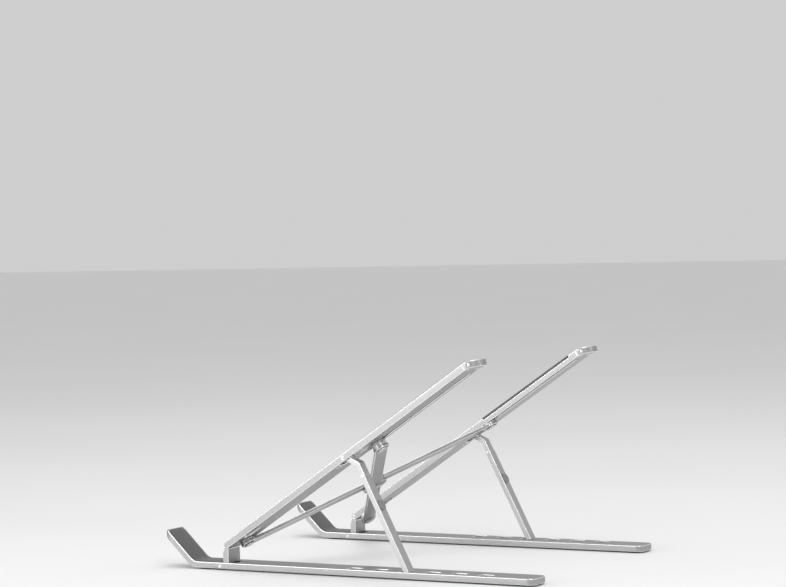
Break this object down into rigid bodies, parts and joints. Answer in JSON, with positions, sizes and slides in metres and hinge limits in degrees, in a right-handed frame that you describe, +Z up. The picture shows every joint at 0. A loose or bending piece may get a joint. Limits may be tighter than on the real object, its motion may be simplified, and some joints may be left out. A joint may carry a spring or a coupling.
{
  "type": "folding laptop stand",
  "caption": "Folding aluminium laptop stand: two side frames with hooked, notched base rails, tilting upper rails on swing-out legs, joined by a crossed-link scissor.",
  "frame": {"origin": "middle of the open stand's footprint, on the surface it stands on", "axes": "+Y runs to the rear along the base rails, the hooks are at -Y; +X is to the user's right; +Z is up"},
  "size_m": [0.1744, 0.2538, 0.1298],
  "materials": {
    "rail_aluminium": "bead-blasted satin silver",
    "post_aluminium": "bead-blasted satin silver",
    "leg_aluminium": "bead-blasted satin silver",
    "link_steel": "satin, bright punched edges",
    "pin_steel": "turned",
    "pad_silicone": "matt",
    "foot_rubber": "matt",
    "bumper_rubber": "matt",
    "nylon": "matt"
  },
  "bodies": {
    "right_base": {"right_base_rail": "rail_aluminium", "right_hook_pad": "pad_silicone", "right_front_foot": "foot_rubber", "right_rear_foot": "foot_rubber", "right_post": "post_aluminium", "right_post_pin": "pin_steel"},
    "right_rail": {"right_upper_rail": "rail_aluminium", "right_rail_pad": "pad_silicone", "right_end_cap": "rail_aluminium", "right_end_cap_pin": "pin_steel", "right_hinge_pin": "pin_steel", "right_leg_pin": "pin_steel", "right_leg_catch": "pin_steel", "right_link_rivet": "pin_steel", "right_link_washer": "pin_steel"},
    "right_leg": {"right_leg": "leg_aluminium", "right_leg_bumper": "bumper_rubber"},
    "left_base": {"left_base_rail": "rail_aluminium", "left_hook_pad": "pad_silicone", "left_front_foot": "foot_rubber", "left_rear_foot": "foot_rubber", "left_post": "post_aluminium", "left_post_pin": "pin_steel"},
    "left_rail": {"left_upper_rail": "rail_aluminium", "left_rail_pad": "pad_silicone", "left_end_cap": "rail_aluminium", "left_end_cap_pin": "pin_steel", "left_hinge_pin": "pin_steel", "left_leg_pin": "pin_steel", "left_leg_catch": "pin_steel", "left_link_rivet": "pin_steel", "left_link_spacer": "pin_steel"},
    "left_leg": {"left_leg": "leg_aluminium", "left_leg_bumper": "bumper_rubber"},
    "link_a": {"link_a": "link_steel", "link_a_slider": "pin_steel", "link_a_washer": "pin_steel", "centre_rivet": "pin_steel", "centre_washer": "nylon"},
    "link_b": {"link_b": "link_steel", "link_b_slider": "pin_steel", "link_b_spacer": "pin_steel"}
  },
  "joints": [
    {"name": "tilt", "type": "hinge", "parent": "right_base", "child": "right_rail", "pos_m": [0.078, -0.08069, 0.0157], "axis": [1, 0, 0], "range_deg": [0, 55.4]},
    {"name": "right_leg_fold", "type": "hinge", "parent": "right_rail", "child": "right_leg", "pos_m": [0.0822, 0.00282, 0.07107], "axis": [-1, 0, 0], "range_deg": [0, 83.12]},
    {"name": "scissor", "type": "hinge", "parent": "right_rail", "child": "link_a", "pos_m": [0.0736, -0.07315, 0.01608], "axis": [0, 0.5526, -0.8334], "range_deg": [0, 49.58]},
    {"name": "link_cross", "type": "hinge", "parent": "link_a", "child": "link_b", "pos_m": [0, -0.02581, 0.04603], "axis": [0, -0.5526, 0.8334], "range_deg": [0, 99.18]},
    {"name": "left_link_pivot", "type": "hinge", "parent": "link_b", "child": "left_rail", "pos_m": [-0.0736, -0.07193, 0.01425], "axis": [0, 0.5526, -0.8334], "range_deg": [0, 49.6]},
    {"name": "left_tilt", "type": "hinge", "parent": "left_rail", "child": "left_base", "pos_m": [-0.078, -0.08069, 0.0157], "axis": [-1, 0, 0], "range_deg": [0, 55.42]},
    {"name": "left_leg_fold", "type": "hinge", "parent": "left_rail", "child": "left_leg", "pos_m": [-0.0822, 0.00282, 0.07107], "axis": [-1, 0, 0], "range_deg": [0, 83.12]}
  ],
  "couplings": [
    {"joint": "right_leg_fold", "follows": "tilt", "ratio": 1.5},
    {"joint": "left_leg_fold", "follows": "tilt", "ratio": 1.5},
    {"joint": "left_tilt", "follows": "tilt", "ratio": 1},
    {"joint": "link_cross", "follows": "scissor", "ratio": 2},
    {"joint": "left_link_pivot", "follows": "scissor", "ratio": 1}
  ]
}
